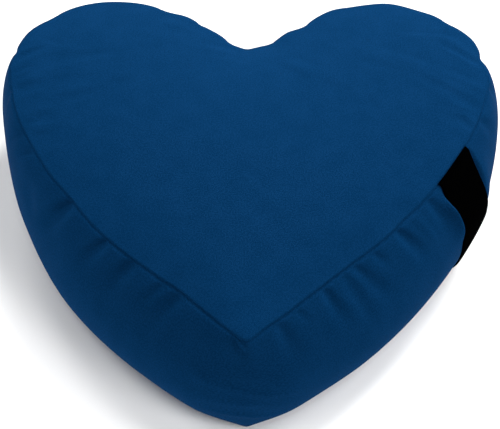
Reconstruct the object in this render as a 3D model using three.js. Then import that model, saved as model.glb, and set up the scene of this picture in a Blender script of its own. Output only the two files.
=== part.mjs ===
// A heart-shaped boxed floor cushion, lying on its base, with a webbing carrying handle on its right side.
// The cover is a heart-shaped top panel, a deep side band and a heart-shaped base, sewn together and filled.
// Units are millimetres, +Z is up, the heart's point looks along -Y and the origin is under its middle.
import * as THREE from "three";

// The upper seam seen from above: two halves of a heart, each from its point to its notch.
// Handles shape the curves. The filling makes the left lobe a little fuller than the right one.
const POINT = { y: -197, angle: 50.5, handle: 122 };
const NOTCH_Y = 124;
const RIGHT_HALF = {
  side: 1,
  widest: { x: 220, y: 100, handleBelow: 107, handleAbove: 28 },
  lobe: { x: 120, y: 182, handleOut: 66, handleIn: 56 },
  notch: { angle: 12, handle: 39 },
};
const LEFT_HALF = {
  side: -1,
  widest: { x: 216, y: 106, handleBelow: 120, handleAbove: 28 },
  lobe: { x: 120, y: 185, handleOut: 68, handleIn: 60 },
  notch: { angle: 18, handle: 27 },
};
const MIDDLE_Y = 20; // where the panels' rings close, a little above the heart's centre

const SEAM_HEIGHT = 138; // the upper seam above the floor
// The top panel rises by (1 - share ** flatness) ** edge, where share runs from 0 in its middle to 1 at the seam.
const CROWN = { height: 17, flatness: 4, edge: 0.75 };
const LOWER_SEAM_HEIGHT = 8;
const BAND_ROUNDNESS = 0.8; // 1 is a sine bulge, lower is a fuller one
const CORNER_EASE = 34; // how far each way from the heart's point the band's turn is spread

// How far the band stands out at mid height, by the distance along the seam from the heart's point.
// A minus sign is the left side.
const BULGES = [
  { along: -660, out: 14 },
  { along: -528, out: 13 },
  { along: -409, out: 15 },
  { along: -343, out: 12 },
  { along: -264, out: 22 },
  { along: -172, out: 39 },
  { along: -92, out: 43 },
  { along: -40, out: 38 },
  { along: 0, out: 31 },
  { along: 40, out: 35 },
  { along: 92, out: 41 },
  { along: 172, out: 38 },
  { along: 264, out: 32 },
  { along: 343, out: 15 },
  { along: 409, out: 15 },
  { along: 528, out: 11 },
  { along: 660, out: 14 },
];

// Creases that run down the band from the upper seam.
// lean is how far a crease drifts along the band for each millimetre that it runs down.
const CREASES = [
  { along: -11, reach: 22, width: 8, depth: 3.5, lean: 0 },
  { along: -71, reach: 52, width: 11, depth: 3.2, lean: 0.5 },
  { along: -88, reach: 34, width: 9, depth: 2.8, lean: 0.4 },
  { along: -123, reach: 46, width: 10, depth: 4.6, lean: 0.4 },
  { along: -156, reach: 34, width: 9, depth: 4.8, lean: 0.6 },
  { along: -209, reach: 56, width: 11, depth: 4.6, lean: 0.65 },
  { along: -277, reach: 44, width: 9, depth: 2.4, lean: 0.6 },
  { along: 33, reach: 36, width: 11, depth: 3.2, lean: 0.3 },
  { along: 52, reach: 26, width: 8, depth: 2, lean: 0.3 },
  { along: 81, reach: 42, width: 9, depth: 4.4, lean: 0.4 },
  { along: 119, reach: 44, width: 10, depth: 3.8, lean: 0.5 },
  { along: 137, reach: 24, width: 8, depth: 2, lean: 0.5 },
  { along: 172, reach: 46, width: 10, depth: 4, lean: 0.5 },
  { along: 211, reach: 50, width: 10, depth: 4.6, lean: 0.3 },
  { along: 318, reach: 44, width: 9, depth: 3, lean: 0.4 },
];
// Where the seam is out of sight, round the lobes and in the notch, the creases are even and plain.
const REAR_CREASES = { from: 348, to: 640, pitch: 36, reach: 34, width: 9, depth: 2.4, lean: 0 };

// The webbing stands out a little more at its edge nearer the point: turn is the share for each millimetre.
const HANDLE = { centre: 258, width: 50, thickness: 2, gap: 0.6, turn: 0.003 };
// The webbing's inner face: how far it stands out from the upper seam, by the height that it has come down.
const HANDLE_PATH = [
  { down: 0, out: 1.2 },
  { down: 22, out: 12.5 },
  { down: 43, out: 25 },
  { down: 56, out: 29.5 },
  { down: 70, out: 30.5 },
  { down: 84, out: 29 },
  { down: 98, out: 24.5 },
  { down: 112, out: 16.5 },
  { down: 122, out: 8.5 },
  { down: 130, out: 1.2 },
];
const HANDLE_MARGIN = 4; // the band is pressed in this far past each edge of the webbing
const HANDLE_BLEND = 10; // and comes back to its own bulge over this distance

const COLUMNS = 216;
const BAND_ROWS = [0, 0.03, 0.07, 0.12, 0.18, 0.25, 0.33, 0.42, 0.51, 0.6, 0.7, 0.8, 0.88, 0.95, 1];
// Rings of the panels, as shares of the way from the middle to the seam.
const TOP_RINGS = [0.4, 0.66, 0.84, 0.93, 0.975];
const BASE_RINGS = [0.955, 0.9, 0.5];
const BASE_LIFT = 2; // the first of the base's rings is this high above the floor, and the others lie on it
// The rings grow rounder towards this oval, so the point and the notch leave no ridge.
const MIDDLE_OVAL = { x: 150, y: 96, fade: 2.5 };
const HANDLE_COLUMNS = 8;

const BAND_HEIGHT = SEAM_HEIGHT - LOWER_SEAM_HEIGHT;

const cushionCloth = new THREE.MeshStandardMaterial({ color: 0x0e3f70, roughness: 0.85, metalness: 0 });
const webbing = new THREE.MeshStandardMaterial({ color: 0x0a0a0b, roughness: 0.75, metalness: 0 });

const { clamp, degToRad, smoothstep } = THREE.MathUtils;

// A smooth curve through a table's rows, as a function of its first column.
function through(rows, x, y) {
  const curve = new THREE.CubicInterpolant(
    rows.map((row) => row[x]),
    rows.map((row) => row[y]),
    1,
  );
  return (at) => curve.evaluate(at)[0];
}

const bulge = through(BULGES, "along", "out");
const handlePath = through(HANDLE_PATH, "down", "out");

function handleOut(along, down) {
  return handlePath(clamp(down, 0, BAND_HEIGHT)) * (1 + HANDLE.turn * (HANDLE.centre - along));
}

// Half of the upper seam as the control points of three curves, from the heart's point to its notch.
function halfHeart({ side, widest, lobe, notch }) {
  const pointAngle = degToRad(POINT.angle);
  const notchAngle = degToRad(notch.angle);
  const corners = [
    [0, POINT.y],
    [POINT.handle * Math.sin(pointAngle), POINT.y + POINT.handle * Math.cos(pointAngle)],
    [widest.x, widest.y - widest.handleBelow],
    [widest.x, widest.y],
    [widest.x, widest.y + widest.handleAbove],
    [lobe.x + lobe.handleOut, lobe.y],
    [lobe.x, lobe.y],
    [lobe.x - lobe.handleIn, lobe.y],
    [notch.handle * Math.cos(notchAngle), NOTCH_Y + notch.handle * Math.sin(notchAngle)],
    [0, NOTCH_Y],
  ];
  return corners.map(([x, y]) => new THREE.Vector2(side * x, y));
}

// The upper seam as a closed path, from the heart's point up the right side and back down the left.
function heartPath() {
  const corners = [...halfHeart(RIGHT_HALF), ...halfHeart(LEFT_HALF).reverse().slice(1)];
  const path = new THREE.CurvePath();
  for (let i = 0; i + 3 < corners.length; i += 3) {
    path.add(new THREE.CubicBezierCurve(...corners.slice(i, i + 4)));
  }
  return path;
}

const seam = heartPath();
const SEAM_LENGTH = seam.getLength();

// Distance along the seam from the heart's point: plus on the right side, minus on the left.
function signedAlong(along) {
  return along > SEAM_LENGTH / 2 ? along - SEAM_LENGTH : along;
}

function seamPoint(along) {
  return seam.getPointAt(THREE.MathUtils.euclideanModulo(along / SEAM_LENGTH, 1));
}

// The seam and its outward direction, both averaged over a short stretch, which rounds off the heart's corners.
// The middle of the stretch counts most.
function easedSeam(along) {
  const place = new THREE.Vector2();
  const outward = new THREE.Vector2();
  const steps = 12;
  for (let i = 1 - steps; i < steps; i++) {
    const here = along + (CORNER_EASE * i) / steps;
    const weight = (1 + Math.cos((Math.PI * i) / steps)) / (2 * steps);
    const chord = seamPoint(here + 1).sub(seamPoint(here - 1)).normalize();
    place.addScaledVector(seamPoint(here), weight);
    outward.addScaledVector(new THREE.Vector2(chord.y, -chord.x), weight);
  }
  return { place, outward };
}

// 0 at the two seams and 1 half way down the band.
function roundness(down) {
  return Math.max(Math.sin((Math.PI * down) / BAND_HEIGHT), 0) ** BAND_ROUNDNESS;
}

// A point of the band, by its distance along the seam, its height down from it and how far it stands out.
function bandPoint(along, down, out) {
  const eased = easedSeam(along);
  const place = seamPoint(along).lerp(eased.place, roundness(down)).addScaledVector(eased.outward, out);
  return new THREE.Vector3(place.x, place.y, SEAM_HEIGHT - down);
}

function creaseDepth(crease, along, down) {
  const lean = crease.lean * Math.sign(crease.along) * down;
  const across = (along - crease.along - lean) / crease.width;
  const fade = 1 - smoothstep(down, 0.15 * crease.reach, crease.reach);
  return crease.depth * Math.exp(-across * across) * fade;
}

function rearCreases() {
  const { from, to, pitch, ...shape } = REAR_CREASES;
  const creases = [];
  for (let along = from; along <= to; along += pitch) {
    creases.push({ ...shape, along }, { ...shape, along: pitch / 2 - along - pitch });
  }
  return creases;
}

const allCreases = [...CREASES, ...rearCreases()];

// 1 under the webbing and a little past its edges, 0 where the band is free.
function pressedByHandle(along) {
  const past = Math.abs(along - HANDLE.centre) - HANDLE.width / 2 - HANDLE_MARGIN;
  return 1 - smoothstep(past, 0, HANDLE_BLEND);
}

// How far the band stands out from the upper seam, at a distance along it and a height down from it.
function bandOut(along, down) {
  let out = bulge(along) * roundness(down);
  for (const crease of allCreases) {
    out -= creaseDepth(crease, along, down) * clamp(down / 6, 0, 1);
  }
  const pressed = Math.min(out, handleOut(along, down) - HANDLE.gap);
  return THREE.MathUtils.lerp(out, pressed, pressedByHandle(along));
}

function bandRing(share) {
  const down = share * BAND_HEIGHT;
  const atSeam = share === 0 || share === 1;
  const ring = [];
  for (let i = 0; i < COLUMNS; i++) {
    const along = (SEAM_LENGTH * i) / COLUMNS;
    ring.push(bandPoint(along, down, atSeam ? 0 : bandOut(signedAlong(along), down)));
  }
  return ring;
}

// A ring of a panel: the heart shrunk towards the middle, and rounder the nearer it is.
function panelRing(share, z) {
  const ring = [];
  const heartness = share ** MIDDLE_OVAL.fade;
  for (let i = 0; i < COLUMNS; i++) {
    const edge = seamPoint((SEAM_LENGTH * i) / COLUMNS).sub(new THREE.Vector2(0, MIDDLE_Y));
    const angle = edge.angle();
    const oval = new THREE.Vector2(MIDDLE_OVAL.x * Math.cos(angle), MIDDLE_OVAL.y * Math.sin(angle));
    const place = oval.lerp(edge, heartness).multiplyScalar(share);
    ring.push(new THREE.Vector3(place.x, place.y + MIDDLE_Y, z));
  }
  return ring;
}

function crownHeight(share) {
  return SEAM_HEIGHT + CROWN.height * (1 - share ** CROWN.flatness) ** CROWN.edge;
}

function cushionGeometry() {
  const rings = [
    ...TOP_RINGS.map((share) => panelRing(share, crownHeight(share))),
    ...BAND_ROWS.map((share) => bandRing(share)),
    ...BASE_RINGS.map((share, i) => panelRing(share, i === 0 ? BASE_LIFT : 0)),
  ];
  const points = rings.flat();
  const top = points.push(new THREE.Vector3(0, MIDDLE_Y, crownHeight(0))) - 1;
  const base = points.push(new THREE.Vector3(0, MIDDLE_Y, 0)) - 1;
  const lastRing = (rings.length - 1) * COLUMNS;
  const faces = [];
  for (let i = 0; i < COLUMNS; i++) {
    const next = (i + 1) % COLUMNS;
    faces.push(top, i, next);
    faces.push(base, lastRing + next, lastRing + i);
    for (let ring = 0; ring < rings.length - 1; ring++) {
      const upper = ring * COLUMNS;
      const lower = upper + COLUMNS;
      faces.push(upper + i, lower + i, lower + next);
      faces.push(upper + i, lower + next, upper + next);
    }
  }
  const geometry = new THREE.BufferGeometry().setFromPoints(points);
  geometry.setIndex(faces);
  geometry.computeVertexNormals();
  return geometry;
}

// A flat strip of webbing, bent down over the band along its path and round the band's curve.
function handleGeometry() {
  const { centre, width, thickness } = HANDLE;
  const rows = BAND_ROWS.length - 1;
  const geometry = new THREE.BoxGeometry(width, rows, thickness, HANDLE_COLUMNS, rows, 1);
  const corners = geometry.getAttribute("position");
  for (let i = 0; i < corners.count; i++) {
    const along = centre + corners.getX(i);
    const down = BAND_ROWS[Math.round(rows / 2 - corners.getY(i))] * BAND_HEIGHT;
    const lift = corners.getZ(i) + thickness / 2;
    const slope = (handleOut(along, down + 1) - handleOut(along, down - 1)) / 2;
    const face = new THREE.Vector2(1, slope).normalize().multiplyScalar(lift);
    const place = bandPoint(along, down - face.y, handleOut(along, down) + face.x);
    corners.setXYZ(i, place.x, place.y, place.z);
  }
  geometry.computeVertexNormals();
  return geometry;
}

const cushion = new THREE.Mesh(cushionGeometry(), cushionCloth);
cushion.name = "cushion";
const handle = new THREE.Mesh(handleGeometry(), webbing);
handle.name = "handle";

const part = new THREE.Group();
part.add(cushion, handle);

// The origin goes under the middle of the whole thing.
const bounds = new THREE.Box3().setFromObject(part);
const middle = bounds.getCenter(new THREE.Vector3());
part.position.set(-middle.x, -middle.y, -bounds.min.z);

export default part;
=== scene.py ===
import math

import bpy
import numpy as np
from mathutils import Matrix, Vector
from mathutils.geometry import delaunay_2d_cdt


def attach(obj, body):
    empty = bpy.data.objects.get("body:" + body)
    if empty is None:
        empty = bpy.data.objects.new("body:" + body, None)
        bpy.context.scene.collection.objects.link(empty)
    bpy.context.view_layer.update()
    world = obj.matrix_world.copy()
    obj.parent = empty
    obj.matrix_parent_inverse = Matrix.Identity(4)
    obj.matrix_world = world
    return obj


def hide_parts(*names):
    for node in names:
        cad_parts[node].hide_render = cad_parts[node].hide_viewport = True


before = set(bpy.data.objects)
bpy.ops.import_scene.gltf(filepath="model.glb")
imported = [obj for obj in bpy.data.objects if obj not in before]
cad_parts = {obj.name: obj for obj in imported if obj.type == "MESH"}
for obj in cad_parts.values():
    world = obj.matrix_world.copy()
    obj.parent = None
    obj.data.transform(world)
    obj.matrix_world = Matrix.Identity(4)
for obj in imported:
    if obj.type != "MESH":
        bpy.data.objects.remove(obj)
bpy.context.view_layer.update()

# Sizes are in millimetres. They become metres where a mesh is made.
MM = 0.001

# The upper seam seen from above, as two halves of a heart from its point to its notch.
POINT = {"y": -197, "angle": 50.5, "handle": 122}
NOTCH_Y = 125
RIGHT_HALF = {
    "side": 1,
    "widest": (220, 100), "below": 107, "above": 28,
    "lobe": (120, 185.5), "out": 66, "in": 56,
    "notch_angle": 12, "notch_handle": 39,
}
LEFT_HALF = {
    "side": -1,
    "widest": (216, 106), "below": 120, "above": 28,
    "lobe": (120, 188), "out": 68, "in": 64,
    "notch_angle": 18, "notch_handle": 27,
}
HEART_IN_FRAME = (-2.3, 8.85)  # where the heart's own origin lies in the frame

SEAM_HEIGHT = 138
LOWER_SEAM_HEIGHT = 8
BAND_HEIGHT = SEAM_HEIGHT - LOWER_SEAM_HEIGHT
CROWN = 17  # the top panel's middle above its seam
CROWN_EDGE = 0.65  # lower makes the panel steeper beside its seam and flatter in the middle
BAND_ROUNDNESS = 0.8  # 1 is a sine bulge, lower is a fuller one
CORNER_EASE = 34  # how far each way from the heart's point the band's turn is spread

# How far the band stands out at mid height, by the distance along the seam from the heart's point.
# A minus sign is the left side.
BULGES = [
    (-660, 17), (-528, 15), (-409, 17), (-343, 12.5), (-264, 23.5), (-172, 41),
    (-92, 45), (-40, 42), (0, 35.5), (40, 39), (92, 44),
    (172, 40.5), (222, 34.8), (264, 30.3), (300, 22.5), (343, 17), (409, 17), (528, 13), (660, 17),
]

# Gathers pull the upper seam in and let it out: where along the seam, and how far out.
SEAM_WAVES = [
    (-660, 1.4), (-646, 0.6), (-630, 2.1), (-606, 0.8), (-592, 1.7), (-571, -1.9), (-552, 0),
    (-530, 1), (-500, 2), (-476, 1.5), (-456, -0.1), (-430, 2.3), (-402, 0), (-384, 1), (-352, 0),
    (-320, 0), (-285, -1), (-240, 0), (-215, -0.6), (-195, 0.9), (-175, 2.4), (-150, 2.2), (-130, 1.5),
    (-110, 0.3), (-90, -0.8), (-75, -2.2), (-58, -1.2), (-40, 0), (-15, 1.4), (0, 2), (15, 1),
    (45, 0.9), (65, 0.1), (90, -0.2), (115, 0), (135, 1.1), (165, 2.1), (180, 1), (210, 1.6),
    (235, 1), (262, 0), (300, 0),
    (340, 0), (360, 1.1), (384, -0.2), (396, -1.9), (406, 0), (417, 2.6), (434, 2.3), (450, 0.5),
    (466, 1.3), (480, 0.4), (514, 2), (530, 0), (548, -0.4), (563, 2), (580, 1.1), (601, -1.3),
    (613, 2), (637, -0.4), (652, 1.6), (660, 1.4),
]

# Puckers run down the band from its upper seam: where along the seam, how far down, half their width,
# how deep, and how far they drift away from the heart's point for each millimetre down.
PUCKERS = [
    (-12, 12, 4, 4.2, -1.2),
    (-70, 34, 7, 4.6, 0.55),
    (-89, 21, 5, 3.6, 0.55),
    (-123, 33, 7, 6.8, 0.45),
    (-155.5, 27, 5.5, 7.2, 0.52),
    (-207, 37, 6.5, 8.0, 0.5),
    (-274, 14, 4, 3.4, 1.3),
    (-298, 22, 5, 2.6, 0.9),
    (31, 28, 6, 3.8, 0.1),
    (51, 11, 4, 2.4, 0.5),
    (82, 30, 5, 4.6, 0.15),
    (104, 34, 6, 2.0, 0.18),
    (117, 36, 5.5, 4.2, 0.52),
    (138, 12, 4, 3.0, 0.6),
    (170, 33, 5, 5.6, 0.45),
    (214, 26, 5, 4.6, 0.2),
    (318, 30, 6, 2.8, 0.4),
    (-643, 24, 6, 3.4, 0.1),
    (-606, 18, 4, 2.6, 0.2),
    (-571, 34, 7, 5.2, -0.2),
    (-520, 20, 6, 2.6, 0.3),
    (-456, 30, 6, 4.4, 0.3),
    (-402, 26, 5, 3.6, 0.3),
    (-352, 20, 5, 2.6, 0.4),
    (360, 18, 5, 2.4, 0.3),
    (396, 34, 7, 5.2, 0.3),
    (450, 22, 5, 3.2, 0.3),
    (480, 24, 5, 3.2, 0.1),
    (548, 32, 6, 4.4, 0.2),
    (601, 34, 7, 5.0, -0.2),
    (637, 22, 5, 3.4, 0.1),
]
SEED_SHARE = 0.5  # this share of the puckers is there before the cloth is inflated
# A pucker starts this far down, and fades out between these shares of its reach.
PUCKER_START = (-0.5, 4)
PUCKER_END = (0.35, 1.15)
# Its width at the seam, as a share of its own, and what it gains for each millimetre down.
PUCKER_SPREAD = (0.7, 0.03)
# Its section: how fast it gets shallower to each side, and how much its edges turn up.
PUCKER_FALL = 0.7
PUCKER_LIP = 0.25

# Longer, softer folds. Each runs from one place to another with half its width and its height, minus in
# a trough. On the band a place is the distance along the seam and the height down from it.
BAND_FOLDS = [
    (-60, 33, -12, 12, 9, -2.6),
    (-136, 35, -96, 28, 9, -1.6),
    (-262, 20, -240, 38, 9, -1.8),
    (8, 12, 40, 26, 8, -1.0),
    (104, 8, 108, 38, 6, -1.2),
    (191, 0, 200, 26, 4, 1.2),
    (-28, 36, 28, 56, 3.5, 1.5),
    (-20, 60, 12, 64, 3.5, 1.4),
    (-18, 78, 24, 88, 3.5, 1.7),
]
# On the top panel a place is x and y about the heart's own origin. Each row is one flank of a fold, from
# left to right: with plus it faces the back and with minus the front.
TOP_FLANKS = [
    (-213, 105, -185, 121, 3.2, 0.6),
    (-210, 117, -190, 126, 4, -1.2),
    (-192, 134, -170, 123, 4, 0.4),
    (-187, 113, -127, 113, 6, -0.55),
    (-181, 97, -114, 110, 6, 0.45),
    (-212, 92, -197, 99, 3.5, 0.7),
    (-209, 78, -184, 83, 6, -0.9),
    (-182, 82, -139, 86, 7, -0.45),
    (-166, 59, -129, 67, 7, -0.6),
    (-189, 41, -174, 45, 6, -0.75),
    (-198, 32, -168, 31, 4, 0.6),
    (-188, 22, -173, 21, 4, -0.6),
    (-206, 66, -181, 72, 5, 0.45),
    (-78, 154, -47, 140, 7, -0.5),
    (-38, 124, -11, 119, 5, 0.9),
    (-121, 75, -103, 79, 8, -0.6),
    (143, 138, 179, 139, 4, 0.65),
    (177, 140, 202, 132, 5, 0.9),
    (180, 123, 219, 98, 3.2, 0.7),
    (187, 127, 214, 108, 5, -1.0),
    (110, 104, 142, 89, 7, -0.6),
    (154, 87, 210, 57, 6, -0.8),
    (175, 93, 216, 77, 5, 0.5),
    (182, 58, 209, 47, 4, 0.6),
    (191, 42, 202, 30, 5, -1.2),
    (126, 113, 172, 96, 6, 0.6),
    (72, 75, 89, 62, 9, -0.75),
    (27, 106, 51, 80, 8, -0.4),
    (35, 105, 66, 85, 8, 0.75),
    (104, 57, 122, 43, 9, -0.5),
    (47, 11, 75, 25, 10, -0.4),
]
# A fold rises and falls over these shares of its length.
FOLD_RISE = (-0.2, 0.25)
FOLD_FALL = (0.65, 1.2)
# Folds keep clear of what is beside them: they start at the first distance and are full from the second.
CLEAR_OF_UPPER_SEAM = (0, 2)
CLEAR_OF_LOWER_SEAM = (0, 6)
CLEAR_OF_STRAP = (3, 8)
CLEAR_OF_PANEL_EDGE = (0.5, 5)

# The strap is a flat length of webbing over the band.
STRAP_CENTRE = 258
STRAP_WIDTH = 50
STRAP_THICKNESS = 1.8
STRAP_EDGES = (STRAP_CENTRE - STRAP_WIDTH / 2, STRAP_CENTRE + STRAP_WIDTH / 2)
STRAP_TURN = 0.003  # its edge nearer the point stands out more, by this share for each millimetre
# The strap's inner face: how far it stands out from the upper seam, by the height it has come down.
STRAP_PATH = [
    (0, 1.2), (11, 6.8), (22, 12.8), (33, 19), (43, 24.5), (56, 29), (70, 30),
    (84, 28.6), (98, 24.2), (112, 16.3), (122, 8.4), (130, 1.2),
]
STRAP_GAP = 0.5  # between the band and the strap's inner face
STRAP_PRESS = (0.4, 4)  # past its edges the band comes back to its own bulge between these distances
STRAP_TUCK = 0.4  # how far past each seam it runs
# Its upper and lower ends go in by the first distance, over the second one from the seam.
UPPER_END = (2.4, 2.5)
LOWER_END = (2.0, 3)
ROUTE_STEPS = 800
# Ribs run across its outer face.
RIB_PITCH = 2.2
RIB_HEIGHT = 0.22
ROWS_A_RIB = 4
# Its section has these places inside each edge, and an even row of columns between them.
EDGE_INSET = 0.8
FLAT_INSET = 2.5
FLAT_COLUMNS = 19
EDGE_THICKNESS = 0.55  # its edges' thickness as a share of its own
EDGE_WAVE = 0.004  # its edges draw in by this share at each rib

# Places where the band stands fuller: beside the strap's edges, and below the seam at both lobes' sides.
# Each row says where along the seam, how high, half its width, and how far down it starts, is full,
# begins to fall and ends.
PUFFS = [
    (230, 10.5, 6, 8, 15, 24, 60),
    (292, 2, 8, 8, 30, 60, 110),
    (-300, 3.5, 50, 0, 10, 14, 60),
    (330, 3, 24, 0, 10, 14, 60),
]

# The cover's mesh has columns that run down the band, closer together beside the strap's edges.
COLUMN = 4
FINE_COLUMN = 1.2
FINE_REACH = 9
# Its rows on the band, by their height down from the upper seam.
BAND_ROWS = [
    1, 2.6, 4.8, 7.6, 11, 15, 19.5, 24, 29, 34.5, 40, 46, 52, 58.5, 65,
    71.5, 78, 84.5, 91, 97, 103, 108.5, 114, 118.5, 122.5, 125.8, 127.8, 129.2,
]
# The top panel's rings, by their distance inside the seam, and the spacing of the even net inside them.
PANEL_RINGS = [0.8, 2.4, 5, 9]
PANEL_SPACING = 4.7
CROWN_SPAN = 130  # the rings rise as if the crown's middle were this far inside the seam
RING_RISE = 0.6  # lower makes the rings rise more steeply beside the seam
NET_STEPS = 5000
NET_CLEARANCE = 0.75  # the net keeps this share of its spacing from its outline
NET_TOLERANCE = 1e-5
# The upper seam is a groove, deeper where the strap's end goes into it.
SEAM_DEPTH = 2.8
STRAP_SEAM_DEPTH = 2.2
STRAP_SEAM_MARGIN = 2
# The lower seam lies a little inside the upper one. The base's rings go by their distance inside it and
# their height.
LOWER_SEAM_INSET = 1.2
LOWER_SEAM_RISE = 0.4
BASE_RINGS = [(1.2, 6.9), (3.5, 4.8), (8, 2.2), (14, 0.3)]
BASE_SPACING = 11
SEARCH_BATCH = 4000  # how many points are set against the seam at once
CURVE_STEPS = 200  # points on each curve of the heart

# The cover is inflated as cloth, whose slack lets it grow by up to this share.
CLOTH_FRAMES = 20
CLOTH_PRESSURE = 16
CLOTH_GROWTH = 0.3
# A point is on the band when it lies this far outside and below the seam. Any other is on top when it
# lies no more than this far below the seam.
BAND_MARGIN = 0.5
TOP_MARGIN = 4
# It is held still beside its seams, towards the base, and round the strap: on the band and in this much
# of the top panel.
SEAM_HOLD = 3
BASE_HOLD = (112, 126)
STRAP_HOLD = (12, 30)
STRAP_HOLD_INSIDE = 25
# Its slack fades down the band between these heights, and on top it falls by this much between these
# distances inside the seam.
BAND_SLACK_FADE = (15, 60)
TOP_SLACK = 0.35
TOP_SLACK_LOST = 0.2
TOP_SLACK_FADE = (10, 60)
# What is left after so many steps of smoothing is the swelling, and the rest is wrinkles.
SWELL_STEPS = 70
SWELL_KEPT = 0.15
WRINKLE_CAP = 5

# The cloth has a plain weave, an uneven grain in its threads, a faint mottling and shallow dents.
THREAD_PITCH = 0.8
THREAD_RELIEF = 0.035
THREAD_SHARE = 0.05
GRAIN_SIZE = 1.2
GRAIN_RELIEF = 0.03
GRAIN_SHARE = 0.8
MOTTLE_SIZE = 22
MOTTLE_SHARE = 0.2
DENT_SIZE = 24
DENT_RELIEF = 0.4
CLOTH_TONES = (0.41, 0.61)
CLOTH_DARK = (0.0009, 0.0268, 0.087, 1)
CLOTH_LIGHT = (0.0031, 0.0403, 0.126, 1)
CLOTH_SHINE = 0.005

# The webbing has threads that run along it and a fine grain.
WEBBING_PITCH = 1.1
WEBBING_RELIEF = 0.12
WEBBING_SHARE = 0.15
WEBBING_GRAIN_SIZE = 0.8
WEBBING_GRAIN_RELIEF = 0.1
WEBBING_TONES = (0.3, 0.7)
WEBBING_DARK = (0.0001, 0.0001, 0.00015, 1)
WEBBING_LIGHT = (0.0006, 0.0006, 0.0008, 1)
WEBBING_SHINE = 0.0005

FABRIC_ROUGHNESS = 0.8
FABRIC_NOISE_ROUGHNESS = 0.6

# The camera looks at a point above the heart's own origin, which shows at this pixel.
VIEW_ELEVATION = 52
CAMERA_DISTANCE = 1500
AIM_HEIGHT = 70
AIM_PIXEL = (246.7, 202.2)
FOCAL_PIXELS = 1650
IMAGE_SIZE = (500, 429)
SENSOR_WIDTH = 36

# The floor and the lights are placed in metres.
FLOOR_SIZE = 16
FLOOR_COLOUR = (0.9, 0.9, 0.9, 1)
FLOOR_ROUGHNESS = 0.9
LIGHT_DISTANCE = 2.2
SOFTBOX_SIZE = 1.3
FLOOR_LIGHT_ANGLE = 18
# Softboxes that light the part, by azimuth, from +X towards +Y, and elevation in degrees, with their
# power in watts.
PART_LIGHTS = [
    ("overhead", 0, 90, 18),
    ("back", 90, 33, 54),
    ("back_right", 45, 33, 21),
    ("right", 0, 33, 18),
    ("left_low", 180, 10, 20),
]
# Even, soft light on the floor, by azimuth and elevation, with its strength in watts for each square metre.
FLOOR_LIGHTS = [
    ("floor_back_right", 50, 56, 2.5),
    ("floor_right", 350, 62, 1.0),
    ("floor_back_left", 110, 66, 0.55),
    ("floor_front_right", 315, 45, 1.3),
    ("floor_front", 270, 60, 0.8),
    ("floor_front_left", 225, 72, 0.75),
]


def smoothstep(x, low, high):
    """0 up to low and 1 from high, with a smooth rise between them."""
    t = np.clip((x - low) / (high - low), 0, 1)
    return t * t * (3 - 2 * t)


def cubic_through(rows):
    """A smooth function through a table's rows."""
    xs = np.array([row[0] for row in rows], float)
    ys = np.array([row[1] for row in rows], float)
    slopes = np.gradient(ys, xs)

    def evaluate(x):
        x = np.clip(np.asarray(x, float), xs[0], xs[-1])
        i = np.clip(np.searchsorted(xs, x) - 1, 0, len(xs) - 2)
        span = xs[i + 1] - xs[i]
        t = (x - xs[i]) / span
        rise = (1 + 2 * t) * (1 - t) ** 2 * ys[i] + t * t * (3 - 2 * t) * ys[i + 1]
        return rise + span * (t * (1 - t) ** 2 * slopes[i] + t * t * (t - 1) * slopes[i + 1])

    return evaluate


def bezier(corners):
    """Points of a curve from its first control point to its fourth."""
    t = np.linspace(0, 1, CURVE_STEPS)[:, None]
    a, b, c, d = np.array(corners, float)
    return (1 - t) ** 3 * a + 3 * (1 - t) ** 2 * t * b + 3 * (1 - t) * t**2 * c + t**3 * d


def half_heart(half):
    """Points of half of the heart, from its point to its notch."""
    angle = math.radians(POINT["angle"])
    notch_angle = math.radians(half["notch_angle"])
    point = np.array([0, POINT["y"]])
    notch = np.array([0, NOTCH_Y])
    widest = np.array(half["widest"])
    lobe = np.array(half["lobe"])
    from_point = point + POINT["handle"] * np.array([math.sin(angle), math.cos(angle)])
    to_notch = notch + half["notch_handle"] * np.array([math.cos(notch_angle), math.sin(notch_angle)])
    side = bezier([point, from_point, widest - (0, half["below"]), widest])
    shoulder = bezier([widest, widest + (0, half["above"]), lobe + (half["out"], 0), lobe])
    dip = bezier([lobe, lobe - (half["in"], 0), to_notch, notch])
    return np.vstack([side, shoulder[1:], dip[1:]]) * (half["side"], 1)


def seam_tables():
    """The seam's length, and about every millimetre along it its places, its eased places and its eased
    outward directions."""
    loop = np.vstack([half_heart(RIGHT_HALF), half_heart(LEFT_HALF)[::-1][1:]])
    along = np.r_[0, np.cumsum(np.hypot(*np.diff(loop, axis=0).T))]
    length = along[-1]
    count = round(length)
    steps = np.arange(count) * length / count
    places = np.column_stack([np.interp(steps, along, loop[:, k]) for k in range(2)])
    chords = np.roll(places, -1, 0) - np.roll(places, 1, 0)
    outward = np.column_stack([chords[:, 1], -chords[:, 0]])
    outward /= np.linalg.norm(outward, axis=1)[:, None]
    eased = np.zeros_like(places)
    turned = np.zeros_like(outward)
    for i in range(1 - CORNER_EASE, CORNER_EASE):
        weight = (1 + math.cos(math.pi * i / CORNER_EASE)) / (2 * CORNER_EASE)
        eased += weight * np.roll(places, -i, 0)
        turned += weight * np.roll(outward, -i, 0)
    signed_steps = np.where(steps > length / 2, steps - length, steps)
    gathered = places + outward * cubic_through(SEAM_WAVES)(signed_steps)[:, None]
    return length, gathered, eased, turned


SEAM_LENGTH, SEAM_PLACES, SEAM_EASED, SEAM_OUTWARD = seam_tables()


def around(table, along):
    """The rows of a seam table at distances along the seam."""
    at = np.asarray(along, float) / SEAM_LENGTH * len(table)
    low = np.floor(at).astype(int)
    share = (at - low)[..., None]
    return table[low % len(table)] * (1 - share) + table[(low + 1) % len(table)] * share


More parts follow.
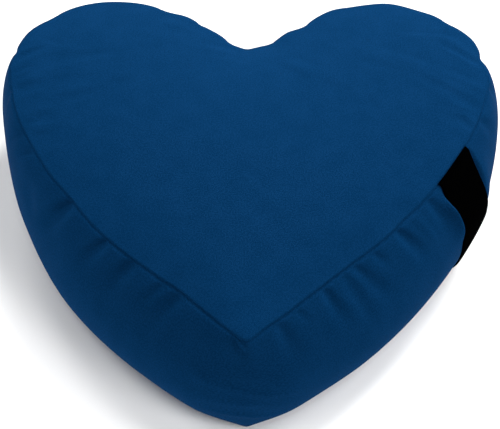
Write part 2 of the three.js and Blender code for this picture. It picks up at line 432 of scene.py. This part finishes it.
def signed(along):
    """Distance from the heart's point: plus on the right side, minus on the left."""
    along = np.asarray(along, float) % SEAM_LENGTH
    return np.where(along > SEAM_LENGTH / 2, along - SEAM_LENGTH, along)


bulge = cubic_through(BULGES)
strap_path = cubic_through(STRAP_PATH)


def roundness(down):
    """0 at the two seams and 1 half way down the band."""
    return np.sin(math.pi * np.clip(down / BAND_HEIGHT, 0, 1)) ** BAND_ROUNDNESS


def strap_out(along, down):
    """How far the strap's inner face stands out."""
    return strap_path(down) * (1 + STRAP_TURN * (STRAP_CENTRE - along))


def pucker_depth(along, down):
    """How deep the puckers are. Each is a narrow trough that widens and fades as it runs down."""
    depth = np.zeros(np.broadcast(along, down).shape)
    for place, reach, width, deep, lean in PUCKERS:
        middle = place + lean * math.copysign(1, place) * down
        across = (along - middle) / (width * (PUCKER_SPREAD[0] + PUCKER_SPREAD[1] * down))
        start = smoothstep(down, *PUCKER_START)
        end = smoothstep(down, PUCKER_END[0] * reach, PUCKER_END[1] * reach)
        section = (1 - PUCKER_LIP * across**2) * np.exp(-PUCKER_FALL * across**2)
        depth += deep * start * (1 - end) * section
    return depth


def ridge(across):
    """The section of a fold that stands up."""
    return np.exp(-(across**2))


def flank(across):
    """The section of a fold's flank: a rise on one side and a dip on the other."""
    return across * np.exp(-(across**2))


def fold_height(x, y, folds, section):
    """How high the folds stand at a place."""
    height = np.zeros(np.broadcast(x, y).shape)
    for x0, y0, x1, y1, width, high in folds:
        length = math.hypot(x1 - x0, y1 - y0)
        dx, dy = (x1 - x0) / length, (y1 - y0) / length
        at = ((x - x0) * dx + (y - y0) * dy) / length
        across = ((x - x0) * dy - (y - y0) * dx) / width
        ends = smoothstep(at, *FOLD_RISE) * (1 - smoothstep(at, *FOLD_FALL))
        height += high * section(across) * ends
    return height


def band_out(along, down):
    """How far the band stands out from the upper seam."""
    out = bulge(along) * roundness(down) - SEED_SHARE * pucker_depth(along, down)
    for place, high, width, start, full, fall, end in PUFFS:
        window = smoothstep(down, start, full) * (1 - smoothstep(down, fall, end))
        out += high * window * np.exp(-(((along - place) / width) ** 2))
    pressed = np.minimum(out, strap_out(along, down) - STRAP_GAP)
    past = np.abs(along - STRAP_CENTRE) - STRAP_WIDTH / 2
    return pressed + (out - pressed) * smoothstep(past, *STRAP_PRESS)


def band_point(along, down, out):
    """Points of the band, and of what lies on it."""
    share = roundness(down)[..., None]
    place = around(SEAM_PLACES, along) * (1 - share) + around(SEAM_EASED, along) * share
    place = place + around(SEAM_OUTWARD, along) * out[..., None]
    return np.concatenate([place, (SEAM_HEIGHT - down)[..., None]], axis=-1)


def seam_columns():
    """Distances along the seam of the mesh's columns, closer together beside the strap's edges."""
    columns = []
    along = 0.0
    while along < SEAM_LENGTH - COLUMN / 2:
        columns.append(along)
        past = min(abs(along - edge) for edge in STRAP_EDGES)
        along += FINE_COLUMN if past < FINE_REACH else COLUMN
    return np.array(columns) * SEAM_LENGTH / along


COLUMNS = seam_columns()
COLUMN_COUNT = len(COLUMNS)
SIGNED_COLUMNS = signed(COLUMNS)


def panel_ring(inward):
    """A ring of a panel, some way inside the seam, rounder the further in it is."""
    share = smoothstep(inward, 0, PANEL_RINGS[-1])
    place = around(SEAM_PLACES, COLUMNS) * (1 - share) + around(SEAM_EASED, COLUMNS) * share
    return place - around(SEAM_OUTWARD, COLUMNS) * inward


class Build:
    """Gathers the points and faces of a mesh, and the faces' places on the flat cloth."""

    def __init__(self):
        self.points = []
        self.faces = []
        self.flat = []

    def add(self, points):
        """Adds points and gives back their numbers."""
        start = len(self.points)
        self.points.extend(np.asarray(points, float).tolist())
        return np.arange(start, len(self.points))

    def ring(self, places, heights):
        return self.add(np.column_stack([places, np.broadcast_to(heights, len(places))]))

    def face(self, corners, flat):
        """Adds a face by its points' numbers, with their places on the flat cloth."""
        self.faces.append([int(corner) for corner in corners])
        self.flat.append([tuple(place) for place in flat])

    def strip(self, upper, lower, upper_flat, lower_flat, wrap=(0, 0)):
        """Quads between two rings. wrap is added to the flat place of the column that closes the ring."""
        count = len(upper)
        for i in range(count):
            j = (i + 1) % count
            extra = wrap if j == 0 else (0, 0)
            flat = (upper_flat[i], lower_flat[i], np.add(lower_flat[j], extra), np.add(upper_flat[j], extra))
            self.face((upper[i], lower[i], lower[j], upper[j]), flat)


def points_inside(outline, spacing, clear):
    """Points of a staggered grid inside an outline, at least some way clear of it."""
    low, high = outline.min(0), outline.max(0)
    rows = []
    for k, y in enumerate(np.arange(low[1], high[1], spacing * math.sqrt(3) / 2)):
        xs = np.arange(low[0] - spacing * (k % 2) / 2, high[0], spacing)
        rows.append(np.column_stack([xs, np.full(len(xs), y)]))
    grid = np.vstack(rows)
    following = np.roll(outline, -1, 0)
    keep = []
    for point in grid:
        crosses = (outline[:, 1] > point[1]) != (following[:, 1] > point[1])
        a, b = outline[crosses], following[crosses]
        x = a[:, 0] + (point[1] - a[:, 1]) / (b[:, 1] - a[:, 1]) * (b[:, 0] - a[:, 0])
        inside = np.count_nonzero(x > point[0]) % 2 == 1
        keep.append(inside and np.hypot(*(outline - point).T).min() > clear)
    return grid[np.array(keep)]


def fill_outline(outline, spacing):
    """Triangles over an outline, and the points that they add inside it."""
    added = points_inside(outline, spacing, NET_CLEARANCE * spacing)
    points = np.vstack([outline, added])
    count = len(outline)
    edges = [(i, (i + 1) % count) for i in range(count)]
    filled = delaunay_2d_cdt([Vector(point) for point in points], edges, [], 1, NET_TOLERANCE)
    if len(filled[0]) != len(points):
        raise RuntimeError("the panel's outline crosses itself")
    return added, [tuple(face) for face in filled[2]]


def neighbour_table(count, faces):
    """Each point's neighbours as rows of one table, padded with the point itself, and their weights."""
    near = [set() for _ in range(count)]
    for face in faces:
        for a, b in zip(face, (*face[1:], face[0])):
            near[a].add(b)
            near[b].add(a)
    most = max(len(n) for n in near)
    table = np.repeat(np.arange(count)[:, None], most, 1)
    weight = np.zeros((count, most))
    for i, row in enumerate(near):
        table[i, : len(row)] = sorted(row)
        weight[i, : len(row)] = 1 / len(row)
    return table, weight


def net_heights(points, faces, fixed):
    """Heights of a net that an even pressure lifts from its fixed points: 0 there and 1 at the highest."""
    table, weight = neighbour_table(len(points), faces)
    load = (((points[table] - points[:, None]) ** 2).sum(2) * weight).sum(1)
    free = np.ones(len(points))
    free[fixed] = 0
    height = np.zeros(len(points))
    for _ in range(NET_STEPS):
        height = ((height[table] * weight).sum(1) + load) * free
    return height / height.max()


def add_top_panel(build):
    """The top panel: an even net inside a few rings that follow the seam."""
    ring = panel_ring(PANEL_RINGS[-1])
    added, faces = fill_outline(ring, PANEL_SPACING)
    net = np.vstack([ring, added])
    edge = PANEL_RINGS[-1] / CROWN_SPAN
    rise = edge + (1 - edge) * net_heights(net, faces, np.arange(COLUMN_COUNT))
    ids = build.add(np.column_stack([net, SEAM_HEIGHT + CROWN * rise**CROWN_EDGE]))
    for face in faces:
        build.face(ids[list(face)], net[list(face)])
    upper, upper_flat = ids[:COLUMN_COUNT], ring
    edge_height = CROWN * edge**CROWN_EDGE
    for inward in PANEL_RINGS[-2::-1]:
        ring = panel_ring(inward)
        lower = build.ring(ring, SEAM_HEIGHT + edge_height * (inward / PANEL_RINGS[-1]) ** RING_RISE)
        build.strip(upper, lower, upper_flat, ring)
        upper, upper_flat = lower, ring
    return upper, upper_flat


def add_upper_seam(build, upper, upper_flat):
    """The groove between the top panel and the band."""
    seam = around(SEAM_PLACES, COLUMNS)
    off_strap = np.abs(SIGNED_COLUMNS - STRAP_CENTRE)
    under_strap = 1 - smoothstep(off_strap, STRAP_WIDTH / 2, STRAP_WIDTH / 2 + STRAP_SEAM_MARGIN)
    half_depth = 0.5 * (SEAM_DEPTH + STRAP_SEAM_DEPTH * under_strap)
    bottom = seam - around(SEAM_OUTWARD, COLUMNS) * half_depth[:, None]
    lower = build.ring(bottom, SEAM_HEIGHT - half_depth)
    build.strip(upper, lower, upper_flat, seam)
    return lower


def add_band(build, upper):
    """The side band, whose flat cloth is one long strip."""
    upper_flat = np.column_stack([COLUMNS, np.zeros(COLUMN_COUNT)])
    before = None
    for down in BAND_ROWS:
        row = np.full(COLUMN_COUNT, float(down))
        points = band_point(COLUMNS, row, band_out(SIGNED_COLUMNS, row))
        lower = build.add(points)
        step = SEAM_DEPTH / 2 if before is None else np.linalg.norm(points - before, axis=1).mean()
        flat = np.column_stack([COLUMNS, upper_flat[:, 1] - step])
        build.strip(upper, lower, upper_flat, flat, (SEAM_LENGTH, 0))
        upper, upper_flat, before = lower, flat, points
    return upper, upper_flat


def add_base(build, upper, upper_flat):
    """The lower seam, the rings that turn the base in, and its flat middle."""
    seam = around(SEAM_PLACES, COLUMNS)
    inset = seam - around(SEAM_OUTWARD, COLUMNS) * LOWER_SEAM_INSET
    lower = build.ring(inset, LOWER_SEAM_HEIGHT + LOWER_SEAM_RISE)
    flat = np.column_stack([COLUMNS, upper_flat[:, 1] - SEAM_DEPTH / 2])
    build.strip(upper, lower, upper_flat, flat, (SEAM_LENGTH, 0))
    upper, upper_flat = lower, seam
    for inward, height in BASE_RINGS:
        ring = panel_ring(inward)
        lower = build.ring(ring, height)
        build.strip(upper, lower, upper_flat, ring)
        upper, upper_flat = lower, ring
    added, faces = fill_outline(upper_flat, BASE_SPACING)
    ids = np.r_[upper, build.ring(added, 0)]
    base = np.vstack([upper_flat, added])
    for face in faces:
        corners = list(face[::-1])
        build.face(ids[corners], base[corners])


def cushion_mesh():
    """The cushion's surface as one closed mesh."""
    build = Build()
    upper, flat = add_top_panel(build)
    upper = add_upper_seam(build, upper, flat)
    upper, flat = add_band(build, upper)
    add_base(build, upper, flat)
    return build


def make_object(name, points, faces, flat):
    """A smooth mesh object in the frame, from points in millimetres about the heart's own origin."""
    mesh = bpy.data.meshes.new(name)
    placed = np.array(points, float)
    placed[:, :2] += HEART_IN_FRAME
    mesh.from_pydata((placed * MM).tolist(), [], faces)
    layer = mesh.uv_layers.new(name="cloth")
    corners = np.array([corner for face in flat for corner in face], np.float32) * MM
    layer.data.foreach_set("uv", corners.ravel())
    mesh.update()
    mesh.shade_smooth()
    piece = bpy.data.objects.new(name, mesh)
    bpy.context.scene.collection.objects.link(piece)
    return piece


def read_points(mesh):
    """A mesh's points in millimetres about the heart's own origin."""
    flat = np.zeros(len(mesh.vertices) * 3)
    mesh.vertices.foreach_get("co", flat)
    points = flat.reshape(-1, 3) / MM
    points[:, :2] -= HEART_IN_FRAME
    return points


def write_points(mesh, points):
    """Moves a mesh's points, given in millimetres about the heart's own origin."""
    placed = points.copy()
    placed[:, :2] += HEART_IN_FRAME
    mesh.vertices.foreach_set("co", (placed * MM).ravel())
    mesh.update()


def nearest_on_seam(places):
    """For each place, where along the seam its nearest point is, and how far outside the seam it is."""
    along = np.zeros(len(places))
    outside = np.zeros(len(places))
    step = SEAM_LENGTH / len(SEAM_PLACES)
    for start in range(0, len(places), SEARCH_BATCH):
        batch = slice(start, start + SEARCH_BATCH)
        part = places[batch]
        gaps = part[:, None] - SEAM_PLACES[None]
        nearest = np.argmin((gaps**2).sum(2), axis=1)
        chosen = gaps[np.arange(len(part)), nearest]
        normal = SEAM_OUTWARD[nearest]
        normal = normal / np.linalg.norm(normal, axis=1)[:, None]
        tangent = np.column_stack([-normal[:, 1], normal[:, 0]])
        along[batch] = nearest * step + (chosen * tangent).sum(1)
        outside[batch] = (chosen * normal).sum(1)
    return signed(along), outside


def cloth_weights(points):
    """How firmly the cloth is held at each point, and how much slack it has there."""
    along, outside = nearest_on_seam(points[:, :2])
    down = SEAM_HEIGHT - points[:, 2]
    on_band = (outside > BAND_MARGIN) & (down > BAND_MARGIN)
    on_top = ~on_band & (down < TOP_MARGIN)
    below = np.where(on_band, down, np.inf)
    inside = np.where(on_top, -outside, np.inf)
    past_edge = np.abs(along - STRAP_CENTRE) - STRAP_WIDTH / 2
    near_strap = 1 - smoothstep(past_edge, *STRAP_HOLD)
    beside_strap = np.where(on_band | (inside < STRAP_HOLD_INSIDE), near_strap, 0)
    beside_seam = 1 - smoothstep(np.minimum(below, inside), 0, SEAM_HOLD)
    hold = np.maximum.reduce([beside_seam, smoothstep(down, *BASE_HOLD), beside_strap])
    slack = np.where(on_band, 1 - smoothstep(down, *BAND_SLACK_FADE), 0)
    slack = np.where(on_top, TOP_SLACK - TOP_SLACK_LOST * smoothstep(-outside, *TOP_SLACK_FADE), slack)
    return hold, slack


def add_weights(piece, name, values):
    """Writes a value for each point into a vertex group."""
    group = piece.vertex_groups.new(name=name)
    for i, value in enumerate(values):
        if value > 0:
            group.add([i], float(value), "REPLACE")


def inflated(piece):
    """Where the piece's points are once it has been inflated as cloth."""
    cloth = piece.modifiers.new("cloth", "CLOTH")
    settings = cloth.settings
    settings.quality = 5
    settings.mass = 0.1
    settings.tension_stiffness = 5
    settings.compression_stiffness = 5
    settings.shear_stiffness = 5
    settings.bending_stiffness = 0.005
    settings.air_damping = 2
    settings.use_pressure = True
    settings.uniform_pressure_force = CLOTH_PRESSURE
    settings.effector_weights.gravity = 0
    settings.vertex_group_mass = "hold"
    settings.vertex_group_shrink = "slack"
    settings.shrink_min = 0
    settings.shrink_max = -CLOTH_GROWTH
    cloth.collision_settings.use_collision = False
    cloth.point_cache.frame_start = 1
    cloth.point_cache.frame_end = CLOTH_FRAMES
    scene = bpy.context.scene
    for step in range(1, CLOTH_FRAMES + 1):
        scene.frame_set(step)
    evaluated = piece.evaluated_get(bpy.context.evaluated_depsgraph_get())
    points = read_points(evaluated.data)
    piece.modifiers.remove(cloth)
    scene.frame_set(1)
    return points


def simulate(piece, faces):
    """Inflates the cover with a little slack beside its seams, and keeps the wrinkles that form."""
    start = read_points(piece.data)
    hold, slack = cloth_weights(start)
    add_weights(piece, "hold", hold)
    add_weights(piece, "slack", slack)
    moved = inflated(piece) - start
    table, weight = neighbour_table(len(start), faces)
    swell = moved.copy()
    for _ in range(SWELL_STEPS):
        swell = 0.5 * swell + 0.5 * (swell[table] * weight[..., None]).sum(1)
    wrinkles = moved - swell
    size = np.linalg.norm(wrinkles, axis=1)[:, None]
    wrinkles *= WRINKLE_CAP / np.maximum(size, WRINKLE_CAP)
    write_points(piece.data, start + (wrinkles + SWELL_KEPT * swell) * (1 - hold)[:, None])
    piece.vertex_groups.clear()


def subdivide(piece):
    """Makes the mesh twice as fine, with no modifier left on the piece."""
    modifier = piece.modifiers.new("finer", "SUBSURF")
    modifier.levels = 1
    modifier.render_levels = 1
    evaluated = piece.evaluated_get(bpy.context.evaluated_depsgraph_get())
    mesh = bpy.data.meshes.new_from_object(evaluated)
    piece.modifiers.remove(modifier)
    old = piece.data
    piece.data = mesh
    bpy.data.meshes.remove(old)
    mesh.shade_smooth()


def refine(piece):
    """Adds the puckers' full depth and the soft folds to the fine mesh."""
    points = read_points(piece.data)
    along, outside = nearest_on_seam(points[:, :2])
    down = SEAM_HEIGHT - points[:, 2]
    past_edge = np.abs(along - STRAP_CENTRE) - STRAP_WIDTH / 2
    clear = smoothstep(down, *CLEAR_OF_UPPER_SEAM)
    clear = clear * smoothstep(points[:, 2] - LOWER_SEAM_HEIGHT, *CLEAR_OF_LOWER_SEAM)
    clear = clear * smoothstep(past_edge, *CLEAR_OF_STRAP)
    move = fold_height(along, down, BAND_FOLDS, ridge) - (1 - SEED_SHARE) * pucker_depth(along, down)
    points[:, :2] += around(SEAM_OUTWARD, along) * (move * clear)[:, None]
    on_top = smoothstep(-outside, *CLEAR_OF_PANEL_EDGE) * (down < 1)
    points[:, 2] += fold_height(points[:, 0], points[:, 1], TOP_FLANKS, flank) * on_top
    write_points(piece.data, points)


def make_cushion():
    """The sewn cover, filled and wrinkled."""
    build = cushion_mesh()
    piece = make_object("cushion_cover", build.points, build.faces, build.flat)
    simulate(piece, build.faces)
    subdivide(piece)
    refine(piece)
    return piece


def strap_route():
    """The strap's inner face at its middle, in even steps: how far down, how far out and how far along."""
    downs = np.linspace(-STRAP_TUCK, BAND_HEIGHT + STRAP_TUCK, ROUTE_STEPS)
    outs = strap_path(downs)
    outs -= UPPER_END[0] * (1 - smoothstep(downs, -STRAP_TUCK, UPPER_END[1]))
    outs -= LOWER_END[0] * smoothstep(downs, BAND_HEIGHT - LOWER_END[1], BAND_HEIGHT + STRAP_TUCK)
    steps = np.r_[0, np.cumsum(np.hypot(np.diff(downs), np.diff(outs)))]
    length = steps[-1]
    count = round(length / RIB_PITCH) * ROWS_A_RIB
    at = np.linspace(0, length, count + 1)
    return np.interp(at, steps, downs), np.interp(at, steps, outs), at


def strap_section():
    """Places across the strap: along its outer face, marked True, and back along its inner one."""
    half = STRAP_WIDTH / 2
    flat = np.linspace(FLAT_INSET - half, half - FLAT_INSET, FLAT_COLUMNS)
    across = np.r_[-half, EDGE_INSET - half, flat, half - EDGE_INSET, half]
    return [(x, True) for x in across] + [(x, False) for x in across[::-1]]


def strap_row(section, down, out, down_slope, out_slope, rib):
    """Points of the strap's section at one place of its route. Its thickness is square to the route."""
    points = []
    for x, outer in section:
        at_edge = abs(x) == STRAP_WIDTH / 2
        along = STRAP_CENTRE + x * (1 - EDGE_WAVE * rib * at_edge)
        thickness = STRAP_THICKNESS * (EDGE_THICKNESS if at_edge else 1)
        lift = 0.5 * (STRAP_THICKNESS + (thickness if outer else -thickness))
        if outer and not at_edge:
            lift += RIB_HEIGHT * rib
        lifted_down = down - lift * out_slope
        lifted_out = out * (1 - STRAP_TURN * x) + lift * down_slope
        points.append(band_point(np.array([along]), np.array([lifted_down]), np.array([lifted_out]))[0])
    return points


def make_strap():
    """Flat webbing from the upper seam, over the bulging band, to the lower seam."""
    downs, outs, at = strap_route()
    down_slopes, out_slopes = np.gradient(downs, at), np.gradient(outs, at)
    ribs = 0.5 + 0.5 * np.cos(2 * math.pi * at / RIB_PITCH)
    section = strap_section()
    build = Build()
    rings = []
    for row in zip(downs, outs, down_slopes, out_slopes, ribs):
        rings.append(build.add(strap_row(section, *row)))
    count = len(section)
    for k in range(len(at) - 1):
        for i in range(count):
            j = (i + 1) % count
            corners = ((k, i), (k + 1, i), (k + 1, j), (k, j))
            flat = [(section[place][0], -at[row]) for row, place in corners]
            build.face([rings[row][place] for row, place in corners], flat)
    build.face(rings[0], [(x, 0) for x, _ in section])
    build.face(rings[-1][::-1], [(x, -at[-1]) for x, _ in section[::-1]])
    return make_object("handle_webbing", build.points, build.faces, build.flat), at[-1]


class Nodes:
    """A material's nodes. Its methods add nodes and give back their outputs."""

    def __init__(self, name):
        self.material = bpy.data.materials.new(name)
        self.material.use_nodes = True
        self.tree = self.material.node_tree
        self.shader = self.tree.nodes["Principled BSDF"]

    def add(self, kind, output, inputs):
        """Adds a node and gives back the node and one of its outputs."""
        node = self.tree.nodes.new(kind)
        for name, value in inputs.items():
            if isinstance(value, bpy.types.NodeSocket):
                self.tree.links.new(value, node.inputs[name])
            else:
                node.inputs[name].default_value = value
        return node, node.outputs[output]

    def calculate(self, operation, a, b=0):
        node, result = self.add("ShaderNodeMath", 0, {0: a, 1: b})
        node.operation = operation
        return result

    def flat_place(self):
        """The place on the flat cloth in metres, whole and as its two parts."""
        node, place = self.add("ShaderNodeUVMap", 0, {})
        node.uv_map = "cloth"
        split, across = self.add("ShaderNodeSeparateXYZ", 0, {0: place})
        return place, across, split.outputs[1]

    def noise(self, place, size_mm, detail):
        inputs = {
            "Vector": place,
            "Scale": 1 / (size_mm * MM),
            "Detail": detail,
            "Roughness": FABRIC_NOISE_ROUGHNESS,
        }
        return self.add("ShaderNodeTexNoise", 0, inputs)[1]

    def colours(self, value, low, high, dark, light):
        """A colour that goes from dark, where the value is low, to light."""
        node, result = self.add("ShaderNodeValToRGB", 0, {0: value})
        node.color_ramp.elements[0].position = low
        node.color_ramp.elements[0].color = dark
        node.color_ramp.elements[1].position = high
        node.color_ramp.elements[1].color = light
        return result

    def bump(self, height, distance_mm, under=None):
        """Relief, on top of another relief where one is given."""
        inputs = {"Height": height, "Distance": distance_mm * MM}
        if under is not None:
            inputs["Normal"] = under
        return self.add("ShaderNodeBump", 0, inputs)[1]

    def finish(self, colour, relief, shine):
        """Joins the colour and the relief to the shader, and gives back the material."""
        self.tree.links.new(colour, self.shader.inputs["Base Color"])
        self.tree.links.new(relief, self.shader.inputs["Normal"])
        self.shader.inputs["Roughness"].default_value = FABRIC_ROUGHNESS
        self.shader.inputs["Specular IOR Level"].default_value = shine
        return self.material


def cloth_material():
    """Closely woven matt cloth: a plain weave, uneven threads and a faint mottling."""
    nodes = Nodes("blue_cloth")
    place, across, down = nodes.flat_place()
    turn = math.pi / (THREAD_PITCH * MM)
    warp = nodes.calculate("SINE", nodes.calculate("MULTIPLY", across, turn))
    weft = nodes.calculate("SINE", nodes.calculate("MULTIPLY", down, turn))
    weave = nodes.calculate("MULTIPLY", warp, weft)
    grain = nodes.noise(place, GRAIN_SIZE, detail=1)
    mottle = nodes.noise(place, MOTTLE_SIZE, detail=3)
    tone = nodes.calculate("MULTIPLY", grain, GRAIN_SHARE)
    tone = nodes.calculate("ADD", tone, nodes.calculate("MULTIPLY", mottle, MOTTLE_SHARE))
    tone = nodes.calculate("ADD", tone, nodes.calculate("MULTIPLY", weave, THREAD_SHARE))
    colour = nodes.colours(tone, *CLOTH_TONES, CLOTH_DARK, CLOTH_LIGHT)
    relief = nodes.bump(nodes.noise(place, DENT_SIZE, detail=2), DENT_RELIEF)
    relief = nodes.bump(grain, GRAIN_RELIEF, relief)
    relief = nodes.bump(weave, THREAD_RELIEF, relief)
    return nodes.finish(colour, relief, CLOTH_SHINE)


def webbing_material():
    """Black ribbed webbing. The ribs are in its mesh, and its threads run along it."""
    nodes = Nodes("black_webbing")
    place, across, _ = nodes.flat_place()
    turn = 2 * math.pi / (WEBBING_PITCH * MM)
    threads = nodes.calculate("SINE", nodes.calculate("MULTIPLY", across, turn))
    grain = nodes.noise(place, WEBBING_GRAIN_SIZE, detail=2)
    tone = nodes.calculate("ADD", nodes.calculate("MULTIPLY", threads, WEBBING_SHARE), grain)
    colour = nodes.colours(tone, *WEBBING_TONES, WEBBING_DARK, WEBBING_LIGHT)
    relief = nodes.bump(grain, WEBBING_GRAIN_RELIEF)
    relief = nodes.bump(threads, WEBBING_RELIEF, relief)
    return nodes.finish(colour, relief, WEBBING_SHINE)


def make_floor():
    """A plain, matt, pale floor."""
    bpy.ops.mesh.primitive_plane_add(size=FLOOR_SIZE, location=(0, 0, 0))
    floor = bpy.context.active_object
    floor.name = "floor"
    material = bpy.data.materials.new("floor_white")
    material.use_nodes = True
    shader = material.node_tree.nodes["Principled BSDF"]
    shader.inputs["Base Color"].default_value = FLOOR_COLOUR
    shader.inputs["Roughness"].default_value = FLOOR_ROUGHNESS
    shader.inputs["Specular IOR Level"].default_value = 0
    floor.data.materials.append(material)
    return floor


def make_camera():
    """The camera at the photograph's place and angle."""
    elevation = math.radians(VIEW_ELEVATION)
    forward = Vector((0, math.cos(elevation), -math.sin(elevation)))
    up = Vector((0, math.sin(elevation), math.cos(elevation)))
    aim = Vector((*HEART_IN_FRAME, AIM_HEIGHT))
    per_pixel = CAMERA_DISTANCE / FOCAL_PIXELS
    sideways = (IMAGE_SIZE[0] / 2 - AIM_PIXEL[0]) * per_pixel
    upwards = (AIM_PIXEL[1] - IMAGE_SIZE[1] / 2) * per_pixel
    eye = aim - forward * CAMERA_DISTANCE + Vector((sideways, 0, 0)) + up * upwards
    data = bpy.data.cameras.new("camera")
    data.sensor_width = SENSOR_WIDTH
    data.lens = FOCAL_PIXELS * data.sensor_width / IMAGE_SIZE[0]
    camera = bpy.data.objects.new("camera", data)
    turn = forward.to_track_quat("-Z", "Y").to_matrix().to_4x4()
    camera.matrix_world = Matrix.Translation(eye * MM) @ turn
    bpy.context.scene.collection.objects.link(camera)
    bpy.context.scene.camera = camera


def direction(azimuth, elevation):
    """The way from the part towards a light."""
    level = math.cos(elevation)
    return Vector((level * math.cos(azimuth), level * math.sin(azimuth), math.sin(elevation)))


def add_lights(rows, kind, lit):
    """Lights round the part that light only the given objects."""
    group = bpy.data.collections.new(rows[0][0] + "_lights")
    for piece in lit:
        group.objects.link(piece)
    for name, azimuth, elevation, power in rows:
        towards = direction(math.radians(azimuth), math.radians(elevation))
        data = bpy.data.lights.new(name, kind)
        data.energy = power
        if kind == "AREA":
            data.shape = "SQUARE"
            data.size = SOFTBOX_SIZE
        else:
            data.angle = math.radians(FLOOR_LIGHT_ANGLE)
        light = bpy.data.objects.new(name, data)
        light.location = towards * LIGHT_DISTANCE
        light.rotation_euler = (-towards).to_track_quat("-Z", "Y").to_euler()
        light.light_linking.receiver_collection = group
        bpy.context.scene.collection.objects.link(light)


def make_lights(part, floor):
    """Soft studio light. The world gives none of its own."""
    add_lights(PART_LIGHTS, "AREA", part)
    add_lights(FLOOR_LIGHTS, "SUN", [floor])
    world = bpy.data.worlds.new("studio")
    world.use_nodes = True
    background = world.node_tree.nodes["Background"]
    background.inputs["Color"].default_value = (1, 1, 1, 1)
    background.inputs["Strength"].default_value = 0
    bpy.context.scene.world = world


make_camera()
cushion = make_cushion()
cushion.data.materials.append(cloth_material())
strap, strap_length = make_strap()
strap.data.materials.append(webbing_material())
floor = make_floor()
make_lights([cushion, strap], floor)
bpy.context.scene.view_settings.view_transform = "Standard"

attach(cushion, "root")
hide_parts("cushion")
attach(strap, "root")
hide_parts("handle")
